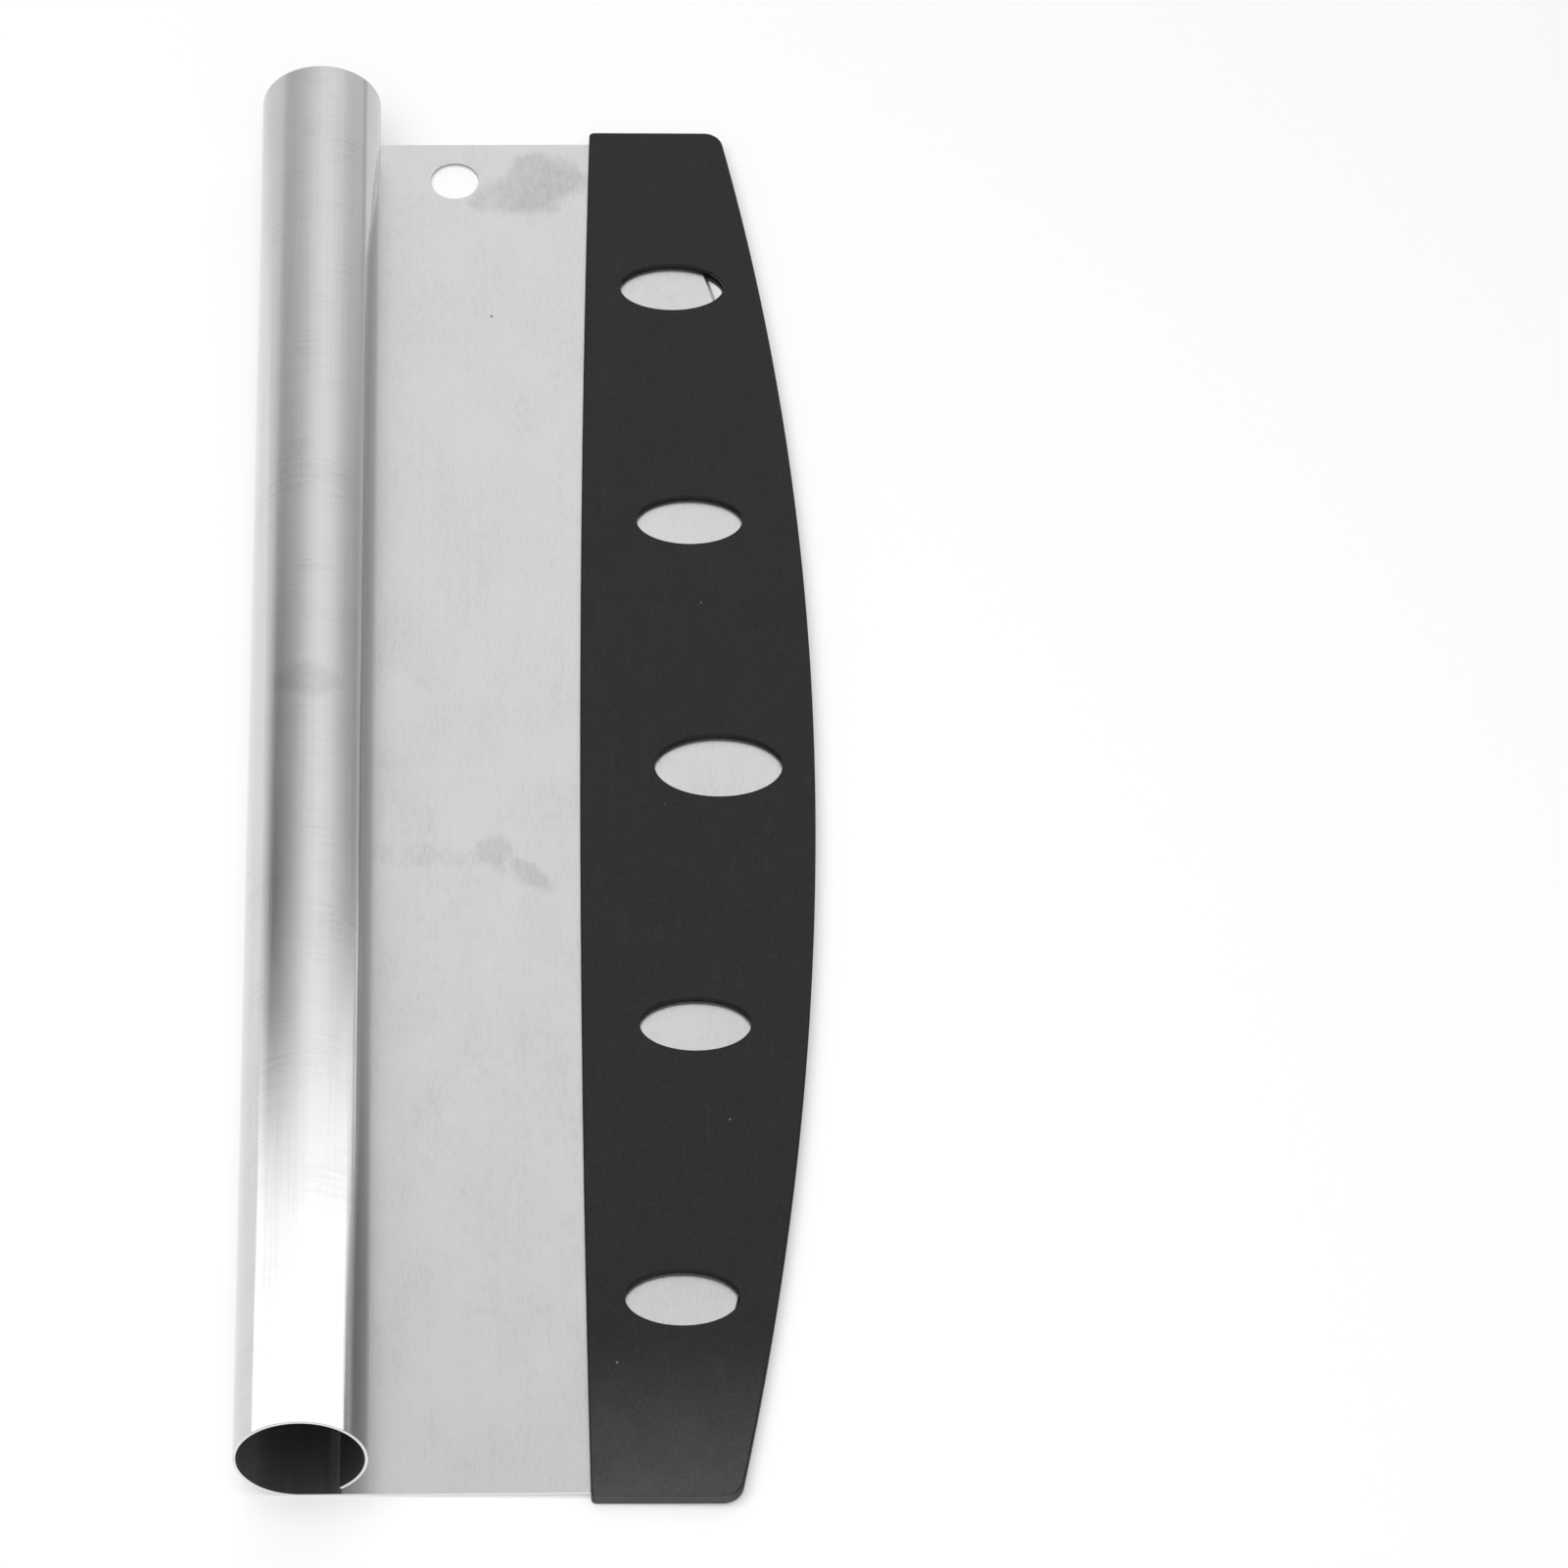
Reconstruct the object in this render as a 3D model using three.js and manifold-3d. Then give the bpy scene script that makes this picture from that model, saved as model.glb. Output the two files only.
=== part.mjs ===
// Rocking pizza cutter with its blade guard, in millimetres with +Z up.
// X runs from the handle to the cutting edge, Y along the handle, and Z out of the blade's face.
// One steel sheet is both blade and handle: its back is rolled up into an open tube.
// A loose moulded sleeve with five windows covers the curved cutting edge.

import * as THREE from "three";
import { mergeVertices } from "three/addons/utils/BufferGeometryUtils.js";
import Module from "manifold-3d";

// Sizes of the steel sheet
const sheetLength = 350;
const sheetThickness = 0.6;
const handleDiameter = 25.6;
const lipAngleBelowLevel = 54;
const bladeReach = 100.5;
const cuttingEdgeRadius = 540;
const bladeCornerRadius = 2;
const groundBevelWidth = 0.7;
const cuttingEdgeLand = 0.1;
const hangHoleDiameter = 10.4;
const hangHoleFromHandleAxis = 28.7;
const hangHoleFromEnd = 10.8;

// Sizes of the guard
const guardDepth = 48;
const guardWall = 1;
const guardEndWall = 1;
const guardRimWall = 1.6;
const guardRadiusBeyondBlade = 364;
const guardMouthBow = 2.05;
const guardOuterCornerRadius = 4.2;
const guardMouthCornerRadius = 1;
const guardEdgeRounding = 0.45;

// Windows of the guard: pairs either side of a larger middle one
const windowPairs = 2;
const windowPitch = 65.75;
const windowLength = 22.2;
const windowWidth = 13.1;
const middleWindowLength = 26.2;
const middleWindowWidth = 16.2;
const middleWindowShift = 4.3;

// How the guard sits on the blade
const faceClearance = 0.3;
const edgeClearance = 0.36;
const endClearance = 1.05;
const guardSkew = 0.54;

// Fineness of the facets, and how far a cutter runs past what it cuts
const arcSegments = 18;
const rollSegments = 36;
const cuttingEdgeSegments = 720;
const overrun = 4;

const steel = new THREE.MeshStandardMaterial({ color: 0xc9c9c8, roughness: 0.32, metalness: 1 });
const blackPlastic = new THREE.MeshStandardMaterial({ color: 0x353535, roughness: 0.6, metalness: 0 });

// Places that several cuts share, measured from the handle's axis
const handleRadius = handleDiameter / 2;
const halfSheet = sheetLength / 2;
const cuttingEdgeCentre = bladeReach - cuttingEdgeRadius;
const slotHeight = sheetThickness + 2 * faceClearance;
const guardHeight = slotHeight + 2 * guardWall;
const halfSlot = halfSheet + endClearance;
const halfGuard = halfSlot + guardEndWall;
const guardFront = bladeReach + edgeClearance + guardRimWall;
const guardMouth = guardFront - guardDepth;
const guardRadius = cuttingEdgeRadius + guardRadiusBeyondBlade;
const guardCentre = guardFront - guardRadius;
const slotRadius = guardRadius - guardRimWall;
const mouthRadius = (halfGuard ** 2 + guardMouthBow ** 2) / (2 * guardMouthBow);
const mouthCentre = guardMouth + mouthRadius;

const wasm = await Module();
wasm.setup();

function solidOf(geometry) {
  geometry.deleteAttribute("normal");
  geometry.deleteAttribute("uv");
  const welded = mergeVertices(geometry, 1e-4);
  const vertProperties = Float32Array.from(welded.attributes.position.array);
  const triVerts = Uint32Array.from(welded.index.array);
  return new wasm.Manifold(new wasm.Mesh({ numProp: 3, vertProperties, triVerts }));
}

function geometryOf(solid) {
  const mesh = solid.getMesh();
  const geometry = new THREE.BufferGeometry();
  geometry.setAttribute("position", new THREE.BufferAttribute(mesh.vertProperties, 3));
  geometry.setIndex(new THREE.BufferAttribute(mesh.triVerts, 1));
  geometry.computeVertexNormals();
  return geometry;
}

// A plan outline raised straight up from one height to another
function raise(shape, low, high, curveSegments) {
  const geometry = new THREE.ExtrudeGeometry(shape, { depth: high - low, bevelEnabled: false, curveSegments });
  geometry.translate(0, 0, low);
  return solidOf(geometry);
}

// The corner that rounds off where an end of the outline meets a long arc on its inner side
function cornerOnArc(arcCentre, arcRadius, halfLength, radius, side) {
  const y = halfLength - radius;
  const x = arcCentre + side * Math.sqrt((arcRadius - radius) ** 2 - y ** 2);
  const angle = Math.atan2(y, x - arcCentre);
  return { x, y, radius, angle };
}

// The sheet seen from its end: a flat blade that curls under, up and over into the handle
function rolledStrip() {
  const lipAngle = -THREE.MathUtils.degToRad(lipAngleBelowLevel);
  const bottom = -Math.PI / 2;
  const innerRadius = handleRadius - sheetThickness;
  const flatEnd = bladeReach + overrun;
  const profile = new THREE.Shape();
  profile.moveTo(flatEnd, 0);
  profile.lineTo(0, 0);
  profile.absarc(0, handleRadius, handleRadius, bottom, lipAngle, true);
  profile.absarc(0, handleRadius, innerRadius, lipAngle, bottom, false);
  profile.lineTo(flatEnd, sheetThickness);
  profile.closePath();
  const depth = sheetLength + 2 * overrun;
  const strip = new THREE.ExtrudeGeometry(profile, { depth, bevelEnabled: false, curveSegments: rollSegments });
  strip.rotateX(Math.PI / 2);
  strip.translate(0, depth / 2, 0);
  return solidOf(strip);
}

// The blank's straight ends and rounded corners; each corner runs off along a tangent to the edge arc
function sheetBlank() {
  const back = -handleRadius - overrun;
  const corner = cornerOnArc(cuttingEdgeCentre, cuttingEdgeRadius, halfSheet, bladeCornerRadius, 1);
  const beyond = bladeReach + 2 * overrun;
  const tangentX = corner.x + corner.radius * Math.cos(corner.angle);
  const tangentY = corner.y + corner.radius * Math.sin(corner.angle);
  const runOffY = tangentY - (beyond - tangentX) / Math.tan(corner.angle);
  const outline = new THREE.Shape();
  outline.moveTo(back, -halfSheet);
  outline.lineTo(corner.x, -halfSheet);
  outline.absarc(corner.x, -corner.y, corner.radius, -Math.PI / 2, -corner.angle, false);
  outline.lineTo(beyond, -Math.max(runOffY, 0));
  outline.lineTo(beyond, Math.max(runOffY, 0));
  outline.absarc(corner.x, corner.y, corner.radius, corner.angle, Math.PI / 2, false);
  outline.lineTo(back, halfSheet);
  outline.closePath();
  return raise(outline, -overrun, handleDiameter + overrun, arcSegments);
}

// All that lies outside the ground edge: a ring with a notch the shape of both bevels
function edgeGrinder() {
  const shoulder = cuttingEdgeRadius - groundBevelWidth;
  const outside = cuttingEdgeRadius + 10 * overrun;
  const landLow = (sheetThickness - cuttingEdgeLand) / 2;
  const landHigh = landLow + cuttingEdgeLand;
  const notch = [
    new THREE.Vector2(shoulder, -overrun),
    new THREE.Vector2(outside, -overrun),
    new THREE.Vector2(outside, sheetThickness + overrun),
    new THREE.Vector2(shoulder, sheetThickness + overrun),
    new THREE.Vector2(shoulder, sheetThickness),
    new THREE.Vector2(cuttingEdgeRadius, landHigh),
    new THREE.Vector2(cuttingEdgeRadius, landLow),
    new THREE.Vector2(shoulder, 0),
    new THREE.Vector2(shoulder, -overrun),
  ];
  const ring = new THREE.LatheGeometry(notch, cuttingEdgeSegments);
  ring.rotateX(Math.PI / 2);
  ring.translate(cuttingEdgeCentre, 0, 0);
  return solidOf(ring);
}

function hangHole() {
  const outline = new THREE.Shape();
  const y = halfSheet - hangHoleFromEnd;
  outline.absarc(hangHoleFromHandleAxis, y, hangHoleDiameter / 2, 0, 2 * Math.PI, false);
  return raise(outline, -overrun, sheetThickness + overrun, arcSegments);
}

function bladeAndHandle() {
  const sheet = rolledStrip().intersect(sheetBlank()).subtract(edgeGrinder()).subtract(hangHole());
  const mesh = new THREE.Mesh(geometryOf(sheet), steel);
  mesh.name = "blade_and_handle";
  mesh.position.z = guardWall + faceClearance;
  return mesh;
}

// The guard's closed outline, with a bowed mouth, square ends and a long curved front
function guardBody() {
  const front = cornerOnArc(guardCentre, guardRadius, halfGuard, guardOuterCornerRadius, 1);
  const mouth = cornerOnArc(mouthCentre, mouthRadius, halfGuard, guardMouthCornerRadius, -1);
  const turn = 2 * Math.PI;
  const outline = new THREE.Shape();
  outline.absarc(guardCentre, 0, guardRadius, -front.angle, front.angle, false);
  outline.absarc(front.x, front.y, front.radius, front.angle, turn / 4, false);
  outline.absarc(mouth.x, mouth.y, mouth.radius, turn / 4, mouth.angle, false);
  outline.absarc(mouthCentre, 0, mouthRadius, mouth.angle, turn - mouth.angle, false);
  outline.absarc(mouth.x, -mouth.y, mouth.radius, turn - mouth.angle, (3 * turn) / 4, false);
  outline.absarc(front.x, -front.y, front.radius, (3 * turn) / 4, turn - front.angle, false);
  const body = new THREE.ExtrudeGeometry(outline, {
    depth: guardHeight - 2 * guardEdgeRounding,
    bevelThickness: guardEdgeRounding,
    bevelSize: guardEdgeRounding,
    bevelOffset: -guardEdgeRounding,
    bevelSegments: 3,
    curveSegments: arcSegments,
  });
  body.translate(0, 0, guardEdgeRounding);
  return solidOf(body);
}

// The pocket for the blade, open along the mouth and closed at the front and both ends
function guardSlot() {
  const openSide = guardMouth - overrun;
  const halfAngle = Math.asin(halfSlot / slotRadius);
  const outline = new THREE.Shape();
  outline.absarc(guardCentre, 0, slotRadius, -halfAngle, halfAngle, false);
  outline.lineTo(openSide, halfSlot);
  outline.lineTo(openSide, -halfSlot);
  outline.closePath();
  return raise(outline, guardWall, guardWall + slotHeight, arcSegments);
}

function windowCutter(x, y, length, width) {
  const outline = new THREE.Shape();
  outline.absellipse(x, y, length / 2, width / 2, 0, 2 * Math.PI, false, 0);
  return raise(outline, -overrun, guardHeight + overrun, arcSegments);
}

// Half way between the guard's mouth and its front, at a distance along it
function middleOfGuard(y) {
  const front = guardCentre + Math.sqrt(guardRadius ** 2 - y ** 2);
  const mouth = mouthCentre - Math.sqrt(mouthRadius ** 2 - y ** 2);
  return (front + mouth) / 2;
}

function bladeGuard() {
  const middleX = middleOfGuard(0) + middleWindowShift;
  let guard = guardBody().subtract(guardSlot());
  guard = guard.subtract(windowCutter(middleX, 0, middleWindowLength, middleWindowWidth));
  for (let pair = 1; pair <= windowPairs; pair += 1) {
    const y = pair * windowPitch;
    guard = guard.subtract(windowCutter(middleOfGuard(y), y, windowLength, windowWidth));
    guard = guard.subtract(windowCutter(middleOfGuard(y), -y, windowLength, windowWidth));
  }
  const mesh = new THREE.Mesh(geometryOf(guard), blackPlastic);
  mesh.name = "blade_guard";
  return mesh;
}

// The guard rocks on the middle of the cutting edge, so that point is its pivot
function seatedGuard() {
  const seat = new THREE.Group();
  const guard = bladeGuard();
  guard.position.x = -bladeReach;
  seat.add(guard);
  seat.position.x = bladeReach;
  seat.rotation.z = -THREE.MathUtils.degToRad(guardSkew);
  return seat;
}

// The origin is the middle of the underside of the whole part
const cutter = new THREE.Group();
cutter.add(bladeAndHandle(), seatedGuard());
cutter.updateMatrixWorld(true);
const extent = new THREE.Box3().setFromObject(cutter, true);
const middle = extent.getCenter(new THREE.Vector3());
cutter.position.set(-middle.x, -middle.y, -extent.min.z);

export default cutter;
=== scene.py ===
import math

import bmesh
import bpy
from mathutils import Matrix, Vector


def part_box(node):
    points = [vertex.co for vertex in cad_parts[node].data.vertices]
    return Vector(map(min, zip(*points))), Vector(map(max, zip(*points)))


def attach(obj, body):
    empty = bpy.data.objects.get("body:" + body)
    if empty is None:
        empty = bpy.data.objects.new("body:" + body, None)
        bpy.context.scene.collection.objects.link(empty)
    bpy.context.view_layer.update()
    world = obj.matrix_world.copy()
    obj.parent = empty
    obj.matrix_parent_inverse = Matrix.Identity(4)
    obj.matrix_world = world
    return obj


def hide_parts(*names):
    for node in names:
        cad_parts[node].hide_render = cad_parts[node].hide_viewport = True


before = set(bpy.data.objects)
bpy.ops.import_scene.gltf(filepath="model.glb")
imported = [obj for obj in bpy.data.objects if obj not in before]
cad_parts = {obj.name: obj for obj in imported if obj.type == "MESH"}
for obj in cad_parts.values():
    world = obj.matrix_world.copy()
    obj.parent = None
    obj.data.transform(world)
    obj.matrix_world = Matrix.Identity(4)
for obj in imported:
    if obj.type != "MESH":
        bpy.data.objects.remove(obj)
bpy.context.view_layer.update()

# Blade and handle: one sheet of stainless steel, sheared to shape and pierced with a hanging hole.
# Its curved front is ground on both faces to a cutting edge, and its straight back is rolled up and
# over into an open tube for a handle. The free lip of the roll stops just short of the blade's face.

MM = 0.001

sheet_low, sheet_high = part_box("blade_and_handle")
sheet_thickness = 0.6 * MM
half_sheet = (sheet_high.y - sheet_low.y) / 2
handle_radius = (sheet_high.z - sheet_low.z) / 2
handle_bore_radius = handle_radius - sheet_thickness
handle_axis = Vector((sheet_low.x + handle_radius, (sheet_low.y + sheet_high.y) / 2, sheet_low.z))
lip_angle = math.radians(-54)
tangent_angle = math.radians(270)
blade_reach = sheet_high.x - handle_axis.x
cutting_edge_radius = 540 * MM
blade_corner_radius = 2 * MM
ground_width = 0.7 * MM
least_ground_width = 0.15 * MM
cutting_edge_land = 0.1 * MM
hole_radius = 5.2 * MM
hole_x = 28.7 * MM
hole_y = half_sheet - 10.8 * MM
hole_surround = 8.4 * MM
deburred_edge = 0.11 * MM
deburred_steps = 2
deburred_turn = math.radians(45)
ground_smooth_turn = math.radians(30)
weld_distance = 0.001 * MM

roll_steps = 81
rows_along_sheet = 92
corner_steps = 3
steps_in_bore = 2
steps_to_hole = 4
steps_across_hole = 12
steps_to_edge = 10
rings_round_hole = 4

SATIN, ROLLED, BORE, SHEARED, GROUND = range(5)

edge_centre_x = blade_reach - cutting_edge_radius
corner_y = half_sheet - blade_corner_radius
corner_x = edge_centre_x + math.sqrt((cutting_edge_radius - blade_corner_radius) ** 2 - corner_y ** 2)
corner_angle = math.atan2(corner_y, corner_x - edge_centre_x)
corner_start_y = corner_y + blade_corner_radius * math.sin(corner_angle)


def steps(start, end, count):
    """Evenly spaced values from start to end."""
    return [start + (end - start) * step / count for step in range(count + 1)]


def edge_x(y):
    """How far the blade reaches from the handle's axis, some way along it."""
    if abs(y) < corner_start_y:
        return edge_centre_x + math.sqrt(cutting_edge_radius ** 2 - y ** 2)
    return corner_x + math.sqrt(max(blade_corner_radius ** 2 - (abs(y) - corner_y) ** 2, 0))


def shoulder_x(y):
    """Where the grinding starts, some way along the blade."""
    shoulder = edge_centre_x + math.sqrt((cutting_edge_radius - ground_width) ** 2 - y ** 2)
    return min(shoulder, edge_x(y) - least_ground_width)


def ground_depth(y):
    """How much the grinding takes off each face at the very edge."""
    beyond = math.hypot(edge_x(y) - edge_centre_x, y) - (cutting_edge_radius - ground_width)
    share = min(max(beyond / ground_width, 0), 1)
    return share * (sheet_thickness - cutting_edge_land) / 2


def on_sheet(x, y, z):
    """A point measured from the handle's axis, the sheet's middle and its lower face."""
    return handle_axis + Vector((x, y, z))


def add_skin(mesh, lines, finish, left_out=None):
    """Four-sided faces between neighbouring lines of points, but for the cells left out."""
    corners = [[mesh.verts.new(point) for point in line] for line in lines]
    for row in range(len(lines) - 1):
        for column in range(len(lines[row]) - 1):
            if left_out and left_out(row, column):
                continue
            face = mesh.faces.new((
                corners[row][column],
                corners[row][column + 1],
                corners[row + 1][column + 1],
                corners[row + 1][column],
            ))
            face.material_index = finish
            face.smooth = True


def close_up(mesh):
    """Welds the skins into one closed body with its faces looking outwards."""
    bmesh.ops.delete(mesh, geom=[v for v in mesh.verts if not v.link_faces], context="VERTS")
    bmesh.ops.remove_doubles(mesh, verts=mesh.verts, dist=weld_distance)
    bmesh.ops.recalc_face_normals(mesh, faces=mesh.faces)


def hole_ring(share):
    """A closed line round the hole: a square at share 0 that turns into the hole's rim at share 1."""
    ring = []
    for step in range(4 * steps_across_hole + 1):
        side, along = divmod(step % (4 * steps_across_hole), steps_across_hole)
        slide = 2 * along / steps_across_hole - 1
        square = ((1, slide), (-slide, 1), (-1, -slide), (slide, -1))[side]
        on_square = Vector(square) * hole_surround
        on_rim = on_square.normalized() * hole_radius
        ring.append(on_square.lerp(on_rim, share))
    return ring


corner_rows = [
    corner_y + blade_corner_radius * math.sin(angle)
    for angle in steps(corner_angle, math.pi / 2, corner_steps)
]
sheet_rows = [-y for y in reversed(corner_rows)][:-1]
sheet_rows += steps(-corner_start_y, hole_y - hole_surround, rows_along_sheet)[:-1]
hole_rows = range(len(sheet_rows), len(sheet_rows) + steps_across_hole)
sheet_rows += steps(hole_y - hole_surround, hole_y + hole_surround, steps_across_hole)
sheet_rows += corner_rows

slit_x = handle_radius * math.cos(lip_angle)
flat_columns = steps(0, slit_x, steps_in_bore)[:-1]
flat_columns += steps(slit_x, hole_x - hole_surround, steps_to_hole)[:-1]
hole_columns = range(len(flat_columns), len(flat_columns) + steps_across_hole)
flat_columns += steps(hole_x - hole_surround, hole_x + hole_surround, steps_across_hole)


def roll_line(y, radius):
    """The roll's section at one place along the handle, from its free lip to where the blade starts."""
    angles = steps(lip_angle, tangent_angle, roll_steps)
    return [on_sheet(radius * math.cos(a), y, handle_radius + radius * math.sin(a)) for a in angles]


def flat_line(y, z):
    """Across the blade from the handle, past the hole, to where the edge starts to curve the mesh."""
    return [on_sheet(x, y, z) for x in flat_columns]


def curved_line(y, z):
    """Across the rest of the blade's face, up to the ground shoulder."""
    return [on_sheet(x, y, z) for x in steps(flat_columns[-1], shoulder_x(y), steps_to_edge)]


def ground_line(y, z):
    """Down the ground face from its shoulder to the cutting edge."""
    depth = ground_depth(y)
    edge_z = z - depth if z else depth
    return [on_sheet(shoulder_x(y), y, z), on_sheet(edge_x(y), y, edge_z)]


sheet_mesh = bmesh.new()
add_skin(sheet_mesh, [roll_line(y, handle_radius) for y in sheet_rows], ROLLED)
add_skin(sheet_mesh, [roll_line(y, handle_bore_radius) for y in sheet_rows], BORE)
for z in (0, sheet_thickness):
    add_skin(
        sheet_mesh,
        [flat_line(y, z) for y in sheet_rows],
        SATIN,
        lambda row, column: row in hole_rows and column in hole_columns,
    )
    add_skin(
        sheet_mesh,
        [[on_sheet(hole_x + p.x, hole_y + p.y, z) for p in hole_ring(share)]
         for share in steps(0, 1, rings_round_hole)],
        SATIN,
    )
    add_skin(sheet_mesh, [curved_line(y, z) for y in sheet_rows], SATIN)
    add_skin(sheet_mesh, [ground_line(y, z) for y in sheet_rows], GROUND)
for y in (sheet_rows[0], sheet_rows[-1]):
    for line in (flat_line, curved_line, ground_line):
        add_skin(sheet_mesh, [line(y, 0), line(y, sheet_thickness)], SHEARED)
    add_skin(sheet_mesh, [roll_line(y, handle_radius), roll_line(y, handle_bore_radius)], SHEARED)
add_skin(
    sheet_mesh,
    [[roll_line(y, radius)[0] for y in sheet_rows] for radius in (handle_radius, handle_bore_radius)],
    SHEARED,
)
add_skin(
    sheet_mesh,
    [[ground_line(y, z)[1] for y in sheet_rows] for z in (0, sheet_thickness)],
    GROUND,
)
add_skin(
    sheet_mesh,
    [[on_sheet(hole_x + p.x, hole_y + p.y, z) for p in hole_ring(1)] for z in (0, sheet_thickness)],
    BORE,
)
close_up(sheet_mesh)
# The face under the roll takes the bore's darker steel, which is painted shade.
for face in sheet_mesh.faces:
    middle = face.calc_center_median() - handle_axis
    if face.material_index == SATIN and middle.z > 0 and 0 < middle.x < slit_x:
        face.material_index = BORE

deburr_weight = sheet_mesh.edges.layers.float.new("bevel_weight_edge")
for edge in sheet_mesh.edges:
    finishes = {face.material_index for face in edge.link_faces}
    turn = edge.calc_face_angle(0)
    if GROUND in finishes:
        edge.smooth = len(finishes) == 1 and turn < ground_smooth_turn
    elif turn > deburred_turn:
        edge[deburr_weight] = 1


def piece_from(mesh, name):
    """Turns finished mesh code into an object of the scene."""
    data = bpy.data.meshes.new(name)
    mesh.to_mesh(data)
    mesh.free()
    piece = bpy.data.objects.new(name, data)
    bpy.context.scene.collection.objects.link(piece)
    return piece


rolled_blade = piece_from(sheet_mesh, "rolled_blade")
deburring = rolled_blade.modifiers.new("deburring", "BEVEL")
deburring.limit_method = "WEIGHT"
deburring.width = deburred_edge
deburring.segments = deburred_steps
deburring.harden_normals = True
deburring.material = SHEARED

rim_raggedness = 1.1
rim_fades = (1.2, 0.65)


class Shade:
    """A socket of a material. Sums on it add Math nodes, and node() adds any other node."""

    def __init__(self, tree, socket=None):
        self.tree = tree
        self.socket = socket

    def node(self, kind, settings, values, *outputs):
        """Adds a node with its settings and its sockets' values or links, and gives the outputs named."""
        added = self.tree.nodes.new(kind)
        for name, value in settings.items():
            setattr(added, name, value)
        for name, value in values.items():
            if isinstance(value, Shade):
                self.tree.links.new(value.socket, added.inputs[name])
            else:
                added.inputs[name].default_value = value
        if not added.outputs:
            return None
        given = [Shade(self.tree, added.outputs[name]) for name in outputs or (0,)]
        return given[0] if len(given) == 1 else given

    def math(self, operation, *values):
        return self.node("ShaderNodeMath", {"operation": operation}, dict(enumerate(values)))

    def vector_math(self, operation, *values):
        return self.node("ShaderNodeVectorMath", {"operation": operation}, dict(enumerate(values)))

    def __add__(self, other):
        return self.math("ADD", self, other)

    def __radd__(self, other):
        return self.math("ADD", other, self)

    def __sub__(self, other):
        return self.math("SUBTRACT", self, other)

    def __rsub__(self, other):
        return self.math("SUBTRACT", other, self)

    def __mul__(self, other):
        return self.math("MULTIPLY", self, other)

    def __rmul__(self, other):
        return self.math("MULTIPLY", other, self)

    def __truediv__(self, other):
        return self.math("DIVIDE", self, other)

    def __rtruediv__(self, other):
        return self.math("DIVIDE", other, self)

    def parts(self):
        """The X, Y and Z of a vector."""
        return self.node("ShaderNodeSeparateXYZ", {}, {"Vector": self}, "X", "Y", "Z")

    def swing(self, amount):
        """Values from 0 to 1 made to swing evenly about 0, by this amount from end to end."""
        return (self - 0.5) * amount

    def ramp(self, low, high, low_value=0.0, high_value=1.0):
        """Eases from one value to another while this one goes from low to high."""
        ends = {"From Min": low, "From Max": high, "To Min": low_value, "To Max": high_value}
        return self.node("ShaderNodeMapRange", {"interpolation_type": "SMOOTHSTEP"}, {"Value": self, **ends})

    def eased_to(self, other, share):
        """This value where the share is 0, and the other where it is 1."""
        return self + share * (other - self)

    def mixed(self, first, second):
        """The first colour where this is 0 and the second where it is 1."""
        factor, first_colour, second_colour, mixed_colour = 0, 6, 7, 2
        values = {factor: self, first_colour: first, second_colour: second}
        return self.node("ShaderNodeMix", {"data_type": "RGBA"}, values, mixed_colour)

    def noise(self, stretch, detail=2.0, roughness=0.5):
        """Cloudy values from 0 to 1 over these coordinates, with so many clouds to the metre each way."""
        place = self.vector_math("MULTIPLY", self, stretch)
        values = {"Vector": place, "Scale": 1.0, "Detail": detail, "Roughness": roughness}
        return self.node("ShaderNodeTexNoise", {}, values)

    def patch(self, at, half_size, turn, ragged):
        """1 in an oval of the plan with ragged edges, 0 outside it, by millimetres and degrees."""
        centre = (at[0] * MM, at[1] * MM, 0)
        reach = (half_size[0] * MM, half_size[1] * MM, 1)
        values = {"Vector": self, "Center": centre, "Angle": math.radians(turn)}
        turned = self.node("ShaderNodeVectorRotate", {"rotation_type": "Z_AXIS"}, values)
        place = self.vector_math("SUBTRACT", turned, centre)
        place = self.vector_math("DIVIDE", place, reach)
        distance = self.node("ShaderNodeVectorMath", {"operation": "LENGTH"}, {0: place}, "Value")
        return (distance + (ragged - 0.5) * rim_raggedness).ramp(*rim_fades)


def new_material(name):
    """An empty material, and the coordinates of its object to start its nodes from."""
    material = bpy.data.materials.new(name)
    material.use_nodes = True
    material.node_tree.nodes.clear()
    return material, Shade(material.node_tree).node("ShaderNodeTexCoord", {}, {}, "Object")


def metal(place, colour, roughness, height, depth):
    """Finishes a metal whose surface rises and falls by depth where height goes from 0 to 1."""
    bump = place.node("ShaderNodeBump", {}, {"Strength": 1.0, "Distance": depth, "Height": height})
    values = {"Base Color": colour, "Metallic": 1.0, "Roughness": roughness, "Normal": bump}
    surface = place.node("ShaderNodeBsdfPrincipled", {}, values)
    place.node("ShaderNodeOutputMaterial", {}, {"Surface": surface})


def marked_steel(name, marks, detail, colour, marked_colour, tint, roughness, mark_roughness, depth):
    """A steel finish with one kind of working mark, so many to the metre across, along and up."""
    finish, place = new_material(name)
    mark = place.noise(marks, detail)
    surface_colour = (mark * tint).mixed(colour, marked_colour)
    metal(place, surface_colour, roughness + mark * mark_roughness, mark, depth)
    return finish


clean_steel = (0.66, 0.66, 0.655, 1)
satin_steel = (0.79, 0.79, 0.785, 1)
smeared_steel = (0.50, 0.50, 0.495, 1)
# The next two colours are the handle band's painted reflection and its painted shade.
painted_guard_reflection_steel = (0.56, 0.56, 0.555, 1)
painted_crevice_shade_steel = (0.38, 0.38, 0.375, 1)
pitted_steel = (0.26, 0.26, 0.255, 1)
bore_painted_shade_steel = (0.27, 0.27, 0.265, 1)
sheared_steel = (0.84, 0.84, 0.835, 1)
ground_steel = (0.50, 0.50, 0.495, 1)

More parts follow.
